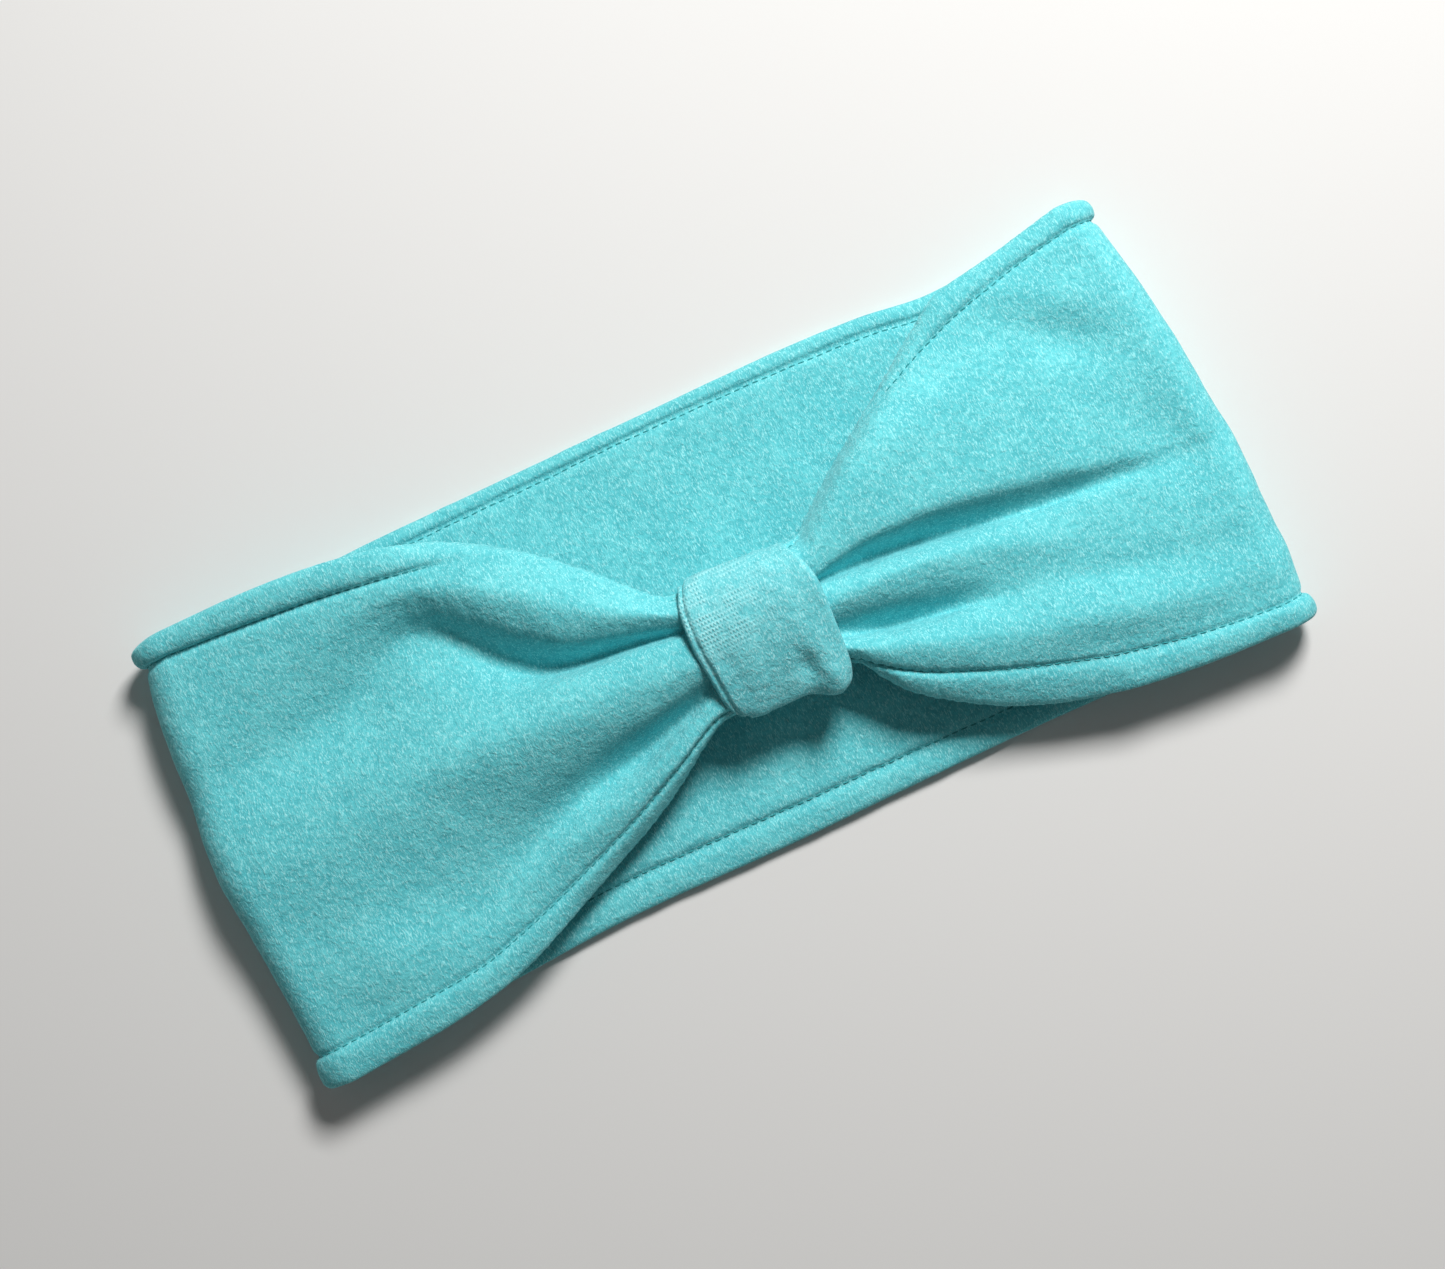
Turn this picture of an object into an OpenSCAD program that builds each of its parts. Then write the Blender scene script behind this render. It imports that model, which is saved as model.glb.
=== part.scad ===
// Padded fleece headband, lying flat on its back length.
// X runs along the band, Y across its width and Z up.
// The origin is on the surface it lies on, under the middle of the band.

/* [Band] */
// Length of the closed loop lying flat, from side fold to side fold
band_length = 248.5; // [200:0.5:300]
// Width of the band over both hems
band_width = 110.2; // [80:0.2:140]
// Thickness of the outer fleece
outer_thick = 2; // [1.2:0.1:2.6]
// Thickness of the lining fleece
lining_thick = 2; // [1.2:0.1:2.6]
// Height of the free space between the hems of the back and front lengths
loop_gap = 5; // [4.6:0.1:10]
// Gap at the side folds, between the back length and the front length
fold_split = 0.3; // [0.2:0.05:0.6]

/* [Hems] */
// Width of each hem, from the edge to the topstitch
hem_width = 8; // [5:0.5:12]
// Extra height of the rounded hem over the plain fleece
hem_puff = 1; // [0.4:0.1:1.6]

/* [Gathered front] */
// Centre of the knot, along the band
knot_x = 10; // [-20:0.5:20]
// Centre of the knot, across the band
knot_y = -2; // [-10:0.5:10]
// Width of the gathered neck inside the knot
neck_width = 32; // [24:0.5:44]
// Height of the gathered neck inside the knot
neck_height = 14; // [10:0.5:20]
// Flat stretch between each side fold and the start of the gathers
flat_run = 20; // [8:0.5:30]
// Height of the pleats in the wings
pleat_height = 5; // [0:0.5:8]
// Number of pleats across each wing
pleats = 3; // [2:1:5]

/* [Knot wrap] */
// Width of the wrap, along the band
wrap_width = 30; // [20:0.5:40]
// Thickness of the wrap's strip of fleece
wrap_thick = 2; // [1.2:0.1:3]
// Clearance all round between the wrap and the neck
wrap_clearance = 0.3; // [0.2:0.05:0.8]
// Free travel of the wrap to each side
wrap_travel = 3; // [1:0.5:5]

/* [Thread] */
// Diameter of the sewing thread
thread_d = 0.5; // [0.3:0.05:0.8]
// Distance of the edge seams from the band's edge
seam_inset = 1.8; // [1.5:0.1:2.4]
// Length of a hand stitch in the wrap's seam
stitch_length = 3; // [2:0.5:5]

/* [Hidden] */

upper = 1;
lower = -1;

// Faces of the two-layer band, counted from the outside of the loop
outer_face = 0;
between = 1;
inner_face = 2;

// Stack of the loop
cloth = outer_thick + lining_thick;
hem_height = cloth + hem_puff;
fold_r = hem_height + loop_gap / 2;
fold_x = band_length / 2 - fold_r;
front_z = 2 * fold_r;

// The wrap's lowest point is level with the underside of the front hems, less a slip of air
wrap_wall = wrap_thick + wrap_clearance;
wrap_foot = front_z - hem_height - 0.2;
neck_z = wrap_foot + wrap_wall + neck_height / 2;
neck_spare = 1;
neck_reach = wrap_width / 2 + wrap_travel + neck_spare;
neck_left = knot_x - neck_reach;
neck_right = knot_x + neck_reach;
gather_left = neck_left + fold_x - flat_run;
gather_right = fold_x - flat_run - neck_right;
gather_power = 2;
neck_power = 2.5;
neck_edge = 0.12;

// Places across the band: the hem's shape, then the field
hem_marks = [0, 1, 2.5, hem_width - 1.5, hem_width, hem_width + 2.5];
field_steps = 10;
field_from = hem_marks[5];
field_to = band_width - field_from;
cross = concat(
    hem_marks,
    [for (k = [1:field_steps - 1]) between_values(field_from, field_to, k / field_steps)],
    [for (k = [5:-1:0]) band_width - hem_marks[k]]
);

// Places along the front length
fold_steps = 3;
wing_steps = 11;
stitch_sink = 0.8;

// A thread's middle below the face it lies on: in a groove, and under a face that rests
thread_sink = 0.1;
buried_sink = thread_d / 2 + 0.05;
thread_sides = 6;

function between_values(a, b, s) = a + (b - a) * s;
function edge_distance(e) = min(e, band_width - e);

// 1 on the hem, below 0 in the stitched groove and 0 on the field
function hem_shape(e) = lookup(edge_distance(e), [
    [0, 1],
    [hem_width - 1.5, 1],
    [hem_width, -stitch_sink],
    [hem_width + 2.5, 0]
]);
function edge_round(e) = lookup(edge_distance(e), [[0, 1.3], [1, 0.35], [2.5, 0]]);

// Depth of a face below the outside of the loop. The hems stand proud on the inside of the
// back length (turn = 0), and equally on both sides of the front length (turn = 1).
function depth(e, turn, face) =
    face == outer_face ? turn * hem_puff / 2 * (1 - hem_shape(e)) + edge_round(e) :
    face == between ? outer_thick + turn * hem_puff / 2 :
    hem_height - (1 - turn / 2) * hem_puff * (1 - hem_shape(e)) - edge_round(e);

// How far the gathered cloth has spread: 0 at the neck, 1 where the band lies flat
function ease(s) = 1 - pow(1 - min(max(s, 0), 1), gather_power);
function spread(x) =
    x < knot_x ? ease((neck_left - x) / gather_left) : ease((x - neck_right) / gather_right);

function neck_cap(v) = max(neck_edge, pow(1 - pow(abs(2 * v - 1), neck_power), 1 / neck_power));
function pleat(v, s) = pleat_height * 2 * s * (1 - s) * (1 - cos(360 * pleats * v));

// A station is [side, angle, x]: a fold turns through the angle, and a wing has the angle 90
function fold_stations(side) = [for (k = [0:fold_steps - 1]) [side, 90 * k / fold_steps, 0]];
function wing_stations(side, from, run) = concat(
    [[side, 90, side * fold_x]],
    [for (k = [0:wing_steps]) [side, 90, from + side * run * (1 - k / wing_steps)]]
);
function reversed(list) = [for (k = [len(list) - 1:-1:0]) list[k]];
stations = concat(
    fold_stations(-1),
    wing_stations(-1, neck_left, gather_left),
    reversed(wing_stations(1, neck_right, gather_right)),
    reversed(fold_stations(1))
);

function outward(st) = [st[0] * cos(st[1]), 0, sin(st[1])];
function fold_point(st, e, deep) = [
    st[0] * (fold_x + (fold_r - deep) * cos(st[1])),
    e - band_width / 2,
    fold_r + max(fold_split / 2, (fold_r - deep) * sin(st[1]))
];
function wing_point(x, e, face) =
    let (s = spread(x), v = e / band_width)
    let (level = [1, 0, -1][face] * neck_cap(v) * neck_height / 2)
    [
        x,
        between_values(knot_y + neck_width * (v - 0.5), band_width * (v - 0.5), s),
        between_values(neck_z + level, front_z - depth(e, 1, face), s) + pleat(v, s)
    ];
function front_point(st, e, face) =
    st[1] < 90 ? fold_point(st, e, depth(e, st[1] / 90, face)) : wing_point(st[2], e, face);

// One closed skin over a list of rings with equal, even numbers of points. Each end is closed
// by a strip that runs between the first and the second half of its ring.
module skin(rings, turned = false) {
    count = len(rings[0]);
    last = (len(rings) - 1) * count;
    sides = [
        for (r = [0:count:last - count], i = [0:count - 1])
        let (a = r + i, b = r + (i + 1) % count)
        for (face = [[a, b, b + count], [a, b + count, a + count]]) face
    ];
    ends = [
        for (i = [0:count / 2 - 2])
        let (j = count - 1 - i)
        for (face = [[i + 1, i, j], [i + 1, j, j - 1]]) face
    ];
    far_ends = [for (face = ends) [last + face[0], last + face[2], last + face[1]]];
    faces = concat(sides, ends, far_ends);
    polyhedron(
        points = [for (ring = rings, p = ring) p],
        faces = turned ? [for (f = faces) reversed(f)] : faces
    );
}

// The front length of one layer, between one of its faces and the plane between the layers
module front_layer(face) {
    skin(
        [for (st = stations) concat(
            [for (e = cross) front_point(st, e, face)],
            [for (e = reversed(cross)) front_point(st, e, between)]
        )],
        turned = face == inner_face
    );
}

// A thread along the front length. Its middle lies below a face by fold_sink where it meets the
// back length, and by wing_sink from the top of the fold on.
module front_thread(e, face, fold_sink, wing_sink) {
    skin(
        [for (st = stations)
            let (sink = between_values(fold_sink, wing_sink, st[1] / 90))
            let (middle = front_point(st, e, face) - sink * outward(st))
            [for (k = [0:thread_sides - 1])
                let (a = 360 * k / thread_sides)
                middle + thread_d / 2 * (cos(a) * [0, 1, 0] + sin(a) * outward(st))]
        ],
        turned = true
    );
}

module below_the_split() {
    difference() {
        children();
        translate([-band_length, -band_width, fold_r - fold_split / 2])
            cube([2 * band_length, 2 * band_width, 2 * fold_r]);
    }
}

// Places a profile drawn as [across, height] along the back length
module along_back() {
    translate([-fold_x, 0, 0])
        rotate([90, 0, 90])
            linear_extrude(2 * fold_x) children();
}

// Turns a profile drawn as [radius, across] up around both side folds
module up_both_folds() {
    for (side = [0, 1])
        mirror([side, 0, 0])
            translate([fold_x, 0, fold_r])
                rotate([90, 0, 0])
                    rotate([0, 0, -90])
                        rotate_extrude(angle = 90) children();
}

function back_profile(face) = concat(
    [for (e = cross) [e - band_width / 2, depth(e, 0, face)]],
    [for (e = reversed(cross)) [e - band_width / 2, depth(e, 0, between)]]
);

module back_layer(face) {
    profile = back_profile(face);
    below_the_split() {
        union() {
            along_back() polygon(profile);
            up_both_folds() polygon([for (p = profile) [fold_r - p[1], p[0]]]);
        }
    }
}

module back_thread(e, deep) {
    across = e - band_width / 2;
    below_the_split() {
        union() {
            along_back() translate([across, deep]) circle(d = thread_d, $fn = 24);
            up_both_folds() translate([fold_r - deep, -across]) circle(d = thread_d, $fn = 24);
        }
    }
}

// Distance across the band of a line that lies a given way in from one edge
function from_edge(side, inset) = side == upper ? band_width - inset : inset;

module stadium(w, h) {
    square([w - h, h], center = true);
    for (side = [-1, 1])
        translate([side * (w - h) / 2, 0]) circle(d = h, $fn = 64);
}

module outer_panel_back() {
    color([0.47, 0.85, 0.86]) back_layer(outer_face);
}

module lining_panel_back() {
    color([0.55, 0.88, 0.89]) back_layer(inner_face);
}

module outer_panel_front() {
    color([0.47, 0.85, 0.86]) front_layer(outer_face);
}

module lining_panel_front() {
    color([0.55, 0.88, 0.89]) front_layer(inner_face);
}

module edge_seam_back(side) {
    color([0.1, 0.5, 0.53]) back_thread(from_edge(side, seam_inset), outer_thick);
}

module edge_seam_front(side) {
    color([0.1, 0.5, 0.53]) front_thread(from_edge(side, seam_inset), between, 0, 0);
}

// The needle thread lies on the outer face and the bobbin thread on the inner face
module topstitch_back(side) {
    e = from_edge(side, hem_width);
    color([0.08, 0.45, 0.48]) {
        back_thread(e, buried_sink);
        back_thread(e, depth(e, 0, inner_face) - thread_sink);
    }
}

module topstitch_front(side) {
    e = from_edge(side, hem_width);
    color([0.08, 0.45, 0.48]) {
        front_thread(e, outer_face, buried_sink, thread_sink);
        front_thread(e, inner_face, -thread_sink, -thread_sink);
    }
}

// Joins the two ends of the band into a loop, out of sight inside the knot
module closing_seam() {
    seam_length = neck_width - neck_height / 2;
    color([0.1, 0.5, 0.53])
        translate([knot_x, knot_y, neck_z])
            rotate([90, 0, 0])
                cylinder(d = thread_d, h = seam_length, center = true, $fn = 24);
}

module knot_wrap() {
    bore_w = neck_width + 2 * wrap_clearance;
    bore_h = neck_height + 2 * wrap_clearance;
    color([0.42, 0.8, 0.82])
        translate([knot_x - wrap_width / 2, knot_y, neck_z])
            rotate([90, 0, 90])
                linear_extrude(wrap_width)
                    difference() {
                        stadium(bore_w + 2 * wrap_thick, bore_h + 2 * wrap_thick);
                        stadium(bore_w, bore_h);
                    }
}

// Hand stitches that close the wrap's strip into a ring, on its underside
module wrap_seam() {
    gap = stitch_length / 2;
    pitch = stitch_length + gap;
    stitches = floor((wrap_width - gap) / pitch);
    start = knot_x - (stitches * pitch - gap) / 2;
    color([0.1, 0.5, 0.53])
        for (k = [0:stitches - 1])
            translate([start + k * pitch, knot_y, wrap_foot + thread_d / 2])
                rotate([0, 90, 0])
                    cylinder(d = thread_d, h = stitch_length, $fn = 24);
}

outer_panel_back();
lining_panel_back();
edge_seam_back(upper);  // upper_edge_seam_back
edge_seam_back(lower);  // lower_edge_seam_back
topstitch_back(upper);  // upper_topstitch_back
topstitch_back(lower);  // lower_topstitch_back
outer_panel_front();
lining_panel_front();
edge_seam_front(upper);  // upper_edge_seam_front
edge_seam_front(lower);  // lower_edge_seam_front
topstitch_front(upper);  // upper_topstitch_front
topstitch_front(lower);  // lower_topstitch_front
closing_seam();
knot_wrap();
wrap_seam();
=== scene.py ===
"""A fleece headband with a gathered, wrapped knot, lying flat on its back length.

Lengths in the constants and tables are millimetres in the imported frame, with X along the band, Y
across it and Z up, unless a comment says metres. Angles in them are degrees.
"""

import math

import bpy
import numpy as np
from mathutils import Euler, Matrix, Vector, noise


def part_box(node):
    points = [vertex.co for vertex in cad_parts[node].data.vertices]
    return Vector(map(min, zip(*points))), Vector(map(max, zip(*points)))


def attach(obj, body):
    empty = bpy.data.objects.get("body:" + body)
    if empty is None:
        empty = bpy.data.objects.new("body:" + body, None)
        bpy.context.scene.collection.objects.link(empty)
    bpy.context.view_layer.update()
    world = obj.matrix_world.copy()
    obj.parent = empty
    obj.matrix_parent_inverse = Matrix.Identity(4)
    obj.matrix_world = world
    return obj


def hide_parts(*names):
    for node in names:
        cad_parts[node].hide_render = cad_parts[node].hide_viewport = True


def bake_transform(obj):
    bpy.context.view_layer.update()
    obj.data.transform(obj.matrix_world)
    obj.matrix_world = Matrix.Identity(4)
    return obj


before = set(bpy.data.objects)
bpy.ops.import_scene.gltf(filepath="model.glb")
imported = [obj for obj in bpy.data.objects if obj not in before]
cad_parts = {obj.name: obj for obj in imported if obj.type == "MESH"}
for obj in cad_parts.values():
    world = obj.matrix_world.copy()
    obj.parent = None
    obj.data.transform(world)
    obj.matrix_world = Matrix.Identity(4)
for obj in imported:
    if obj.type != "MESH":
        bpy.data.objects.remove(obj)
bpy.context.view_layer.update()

MM = 0.001  # metres

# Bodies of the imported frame
FRONT = "band_front"
KNOT = "knot"

# Sizes of the band
FLEECE = 2.0  # thickness of one layer of fleece
CLOTH = 2 * FLEECE
FOLD_R = 7.5  # radius of the outer fleece at the side folds
TOP = 2 * FOLD_R  # height of the front length where it lies flat
FOLD_X = 116.5  # where the front length turns down into the side folds
LAYER_GAP = 0.12  # air between the outer fleece and the lining

# Hems: a puffed strip between the edge and the topstitching
HEM = 7.6  # width of the strip where it rolls over at the gathers
HEM_RISE = 1.5  # height of the puff over the line from its edge to its stitches
HEM_RISE_HIGH = 2.1  # the same where the upper left hem rests on the back length's hem
HEM_RISE_HIGH_X = (-70.0, -30.0)  # its higher puff fades out between these
HEM_PRESSED = 0.25  # share of the puff that the wrap presses flat
HEM_TILT = 24.0  # the lower hem slopes down at least this much beside the gathers
HEM_LIFT = -19.0  # the upper left hem is tipped by this much, where less than 0 is up
HEM_LIFT_X = (-95.0, -55.0)  # its tip fades out between these
HEM_FLAT = (42.0, 75.0)  # the hems open out flat between these distances from the neck's middle
HEM_MOST_TURN = 112.0  # a hem turns down by this much at most
HEM_TURN_STEPS = 80
HEM_EASE = 1.006  # the hems' width over the distance they span where they lie flat
STITCH_DEPTH = 1.05  # from the stitched groove to the middle of the cloth
SHOULDER_GAP = 2.6  # from a stitch line to the field's full height
HEM_REACH = 1.2  # the hems stand out this much at the side folds
BACK_GROOVE = 0.6  # depth of the stitched grooves where the back length lies flat
LINING_GROOVE = 0.9  # depth of the grooves in its lining over those in its outer face
BACK_RISE = 1.6  # height of the back length's hems on its outer face
BACK_RISE_IN = 1.5  # the same on its lining
LINING_LEAST = 0.8  # the lining is never squeezed thinner than this
LINING_LOW = 9.9  # the front length's lining never hangs lower than this

# The gathered neck inside the wrap
NECK_FLOOR = 12.4  # the bundle's underside
NECK_X = (-6.0, 26.0)
NECK_MIDDLE = 10.0  # its middle along X
NECK_FADE = 24.0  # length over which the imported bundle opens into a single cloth
NECK_Y = -2.0  # its middle along Y
NECK_HALF = 15.5
NECK_CORNER = 3.0  # how far the bundle's underside rises towards its sides
NECK_HEM = 5.4  # width left to the hems where they are pressed against the bundle

# Stitches
STITCH_PITCH = 2.3
STITCH_LENGTH = 1.75
STITCH_RINGS = 9
STITCH_SIDES = 8
THREAD_R = 0.19
EDGE_THREAD_R = 0.14
EDGE_SEAM_DEPTH = 0.25  # the edge seams lie this far inside the band's edges
SEAM_POINTS = 60
PUCKER = 0.24  # how far each stitch pulls the fleece in
PUCKER_REACH = 2.2
CREASE = 0.45  # the topstitching cuts this much deeper than the groove round it
CREASE_REACH = 0.7
SUNK = 0.7  # how deep the stitches lie where the upper hem rolls over
ROLLED = ((-54, -46, -8, -4), (24, 28, 52, 60))  # where it does: each from, full from, full to and to
ROLLED_FROM = 12.5  # the front length's stitches are all above this height there

# Unevenness of the soft fleece, as layers of (height, size, seed)
OUTER_SOFTNESS = ((0.34, 17, 1), (0.16, 6, 2))
LINING_SOFTNESS = ((0.3, 19, 3), (0.16, 6, 4))

# The wrap: a strip of the same fleece sewn into a ring round the neck
WRAP_THICK = 2.1
WRAP_FLOOR = 9.9
WRAP_TOP = 28.3
WRAP_MIDDLE = 0.5 * (WRAP_TOP + WRAP_FLOOR)
# Its outline seen from above: its long edges as (y, x) and its ends as (x, y)
WRAP_LEFT = [(-24, -1.0), (-20, -2.6), (-18, -4.3), (-15, -4.9), (-8.6, -5.3), (-0.5, -5.8), (8.4, -5.2),
             (15.8, -2.7), (19, -1.5)]
WRAP_RIGHT = [(-24, 22), (-20.5, 23.8), (-17, 24.8), (-9.7, 25.3), (2, 25.8), (6.4, 25.3), (9.9, 24.4),
              (14, 22.8), (19, 21)]
WRAP_HIGH = [(-6, 15.9), (0, 15.5), (8.5, 14.8), (16.4, 14.2), (22, 14.0), (26, 13.8)]
WRAP_LOW = [(-6, -18.4), (-2, -19.4), (6, -19.9), (12, -19.7), (16, -21), (19, -21.8), (22, -21.4),
            (26, -20.4)]
WRAP_CREST = 2.0  # the ring is highest here across the band
WRAP_POWERS = (2.1, 1.42, 2.6)  # roundness of its upper, lower and hidden quarters: 2 is an ellipse
WRAP_AROUND = 220
WRAP_ACROSS = 56
WRAP_INSIDE = 14
WRAP_STEP = 1.5  # the under layer shows this far beyond the upper layer at the left edge
WRAP_STEP_WIDTH = 0.9
WRAP_STEP_DEPTH = 0.75
WRAP_GROOVE = 0.35  # depth, and half width, of the groove between the two layers
WRAP_ROLL = 1.05  # how far the long edges roll over
WRAP_ROLL_LEFT = 1.1  # width of the left edge's roll
WRAP_ROLL_RIGHT = 1.6
WRAP_CROWN = 0.35  # the strip stands this much higher along its middle
WRAP_CROWN_WIDTH = 9.0
WRAP_DRAG = (0.55, 0.25, 0.25)  # stretches the unevenness into folds that run round the ring
WRAP_FOLDS = ((0.4, 3.2, 5),)
WRAP_SOFTNESS = ((0.16, 2.6, 6),)
# Its crumpled lower right corner, as (x, y, radius along x, radius along y, height)
WRAP_CRUMPLES = [(20, -19.5, 3.2, 4.5, 1.5), (15.5, -14.5, 2.4, 3.5, -1.1)]
WRAP_CRUMPLED_FROM = 15  # only above this height

# The fleece's nap: how many hairs, tufts and clouds of colour lie in a metre
HAIRS_ACROSS = 3100
HAIRS_ALONG = 900
HAIR_TURNS = (20, 80, 140)
TUFTS = 620
CLOUDS = 110
DRIFT = 24
NAP_DEPTH = 0.0003  # metres

# The knit that shows through it on the wrap, in metres
KNIT_COLUMN = 0.0008
KNIT_ROW = 0.0011
KNIT_FADE_X = (0.003, 0.02)  # it shows fully before the first and not at all after the second
KNIT_FADE_Y = (-0.007, 0.002)  # not at all before the first and fully after the second
KNIT_WEAR = 210  # worn places in a metre
KNIT_SHOWS = 0.75

# The studio, in metres
CAMERA_PLACE = (0.0016, 0.0005, 0.556)
CAMERA_TURN = -25.8
CAMERA_LENS = 60  # millimetres, on a 36 mm sensor
FLOOR_SIZE = 6
FLOOR_Z = -0.0002  # just clear of the fleece that lies on it
WORLD_LIGHT = 0.11


# ------------------------------------------------------------------------------ numbers


def pchip(xs, ys, at):
    """A smooth curve through points that never overshoots them."""
    xs = np.asarray(xs, float)
    ys = np.asarray(ys, float)
    step = np.diff(xs)
    rise = np.diff(ys) / step
    slope = np.zeros_like(ys)
    same = rise[:-1] * rise[1:] > 0
    w1 = 2 * step[1:] + step[:-1]
    w2 = step[1:] + 2 * step[:-1]
    before = np.where(same, rise[:-1], 1.0)
    after = np.where(same, rise[1:], 1.0)
    slope[1:-1] = np.where(same, (w1 + w2) / (w1 / before + w2 / after), 0.0)
    slope[0] = rise[0]
    slope[-1] = rise[-1]
    at = np.clip(at, xs[0], xs[-1])
    i = np.clip(np.searchsorted(xs, at, side="right") - 1, 0, len(xs) - 2)
    h = step[i]
    t = (at - xs[i]) / h
    return (
        (1 + 2 * t) * (1 - t) ** 2 * ys[i]
        + t * (1 - t) ** 2 * h * slope[i]
        + t * t * (3 - 2 * t) * ys[i + 1]
        + t * t * (t - 1) * h * slope[i + 1]
    )


def smooth(a, b, x):
    """0 before a, 1 after b, and smooth between."""
    t = np.clip((np.asarray(x, float) - a) / (b - a), 0, 1)
    return t * t * (3 - 2 * t)


def lerp(a, b, t):
    return a + (b - a) * t


def within(start, full_from, full_to, end, x):
    """1 from full_from to full_to, fading to 0 at start and end."""
    return smooth(start, full_from, x) * (1 - smooth(full_to, end, x))


def lumps(points, scale, seed):
    """Smooth noise from -1 to 1 at points in mm, with bumps about scale mm apart."""
    away = Vector((seed * 17.3, seed * 5.1, seed * 9.7))
    flat = points.reshape(-1, 3)
    values = [noise.noise(Vector(p) / scale + away) for p in flat.tolist()]
    return np.array(values).reshape(points.shape[:-1])


def softness(points, layers):
    """Unevenness at points in mm, from layers of lumps given as (height, size, seed)."""
    return sum(height * lumps(points, size, seed) for height, size, seed in layers)


# -------------------------------------------------------------- lines of the front length

# The front length is described by lines that run along it. Its two edges are its outline seen
# from above, as (x, y). Between them come the stitch lines, the shoulders beside them, and the
# crests, lips and valleys of the gathers, as (x, y, z) on its outer face.
EDGE_UPPER = [(-117, 56.2), (-100, 55.8), (-80, 54.6), (-70, 53.4), (-60, 51.6), (-50, 48.8), (-40, 44),
              (-30, 37), (-20, 27.5), (-10, 17.4), (-6, 14.2), (0, 13.8), (22, 13.7), (26, 13.9),
              (30, 17), (40, 24.3), (50, 30.8), (60, 38.2), (70, 44.4), (80, 49), (90, 50.4),
              (100, 51.7), (117, 54.8)]
EDGE_LOWER = [(-117, -54), (-100, -53), (-80, -50.5), (-70, -48), (-60, -44), (-50, -40), (-40, -36),
              (-30, -31.8), (-20, -26.2), (-10, -19.6), (-6, -17.8), (0, -17.6), (22, -17.8),
              (26, -18.6), (30, -25), (40, -34.6), (50, -41), (60, -45.6), (70, -48.8), (80, -51),
              (100, -53.5), (117, -54.5)]
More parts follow.
